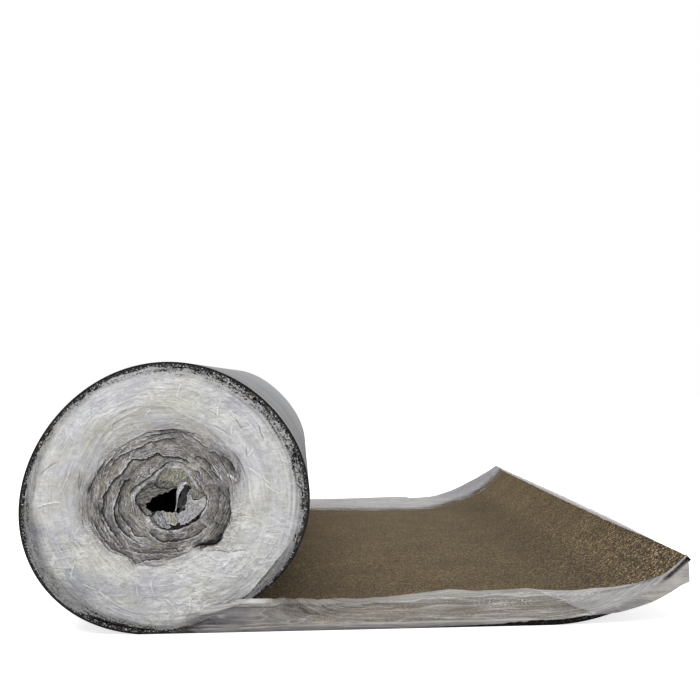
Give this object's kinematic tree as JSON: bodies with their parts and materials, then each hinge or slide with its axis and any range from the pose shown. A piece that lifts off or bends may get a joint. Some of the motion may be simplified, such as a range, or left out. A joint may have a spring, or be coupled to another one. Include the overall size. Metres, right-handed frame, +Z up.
{
  "type": "roll of roofing felt",
  "caption": "Roll of mineral-surfaced roofing felt with its end unrolled and release film folded over both edges, laid on a roof as its waterproof layer.",
  "frame": {"origin": "on the ground, under the roll's axis at the middle of the sheet's width", "axes": "+X along the unrolled end towards its cut edge, +Y along the roll's axis, +Z up"},
  "size_m": [0.5868, 1.0276, 0.234],
  "materials": {
    "felt": "mineral granules on matt bitumen",
    "film": "thin crumpled translucent film"
  },
  "bodies": {
    "root": {"felt_sheet": "felt", "film_front": "film", "film_back": "film"}
  },
  "joints": []
}
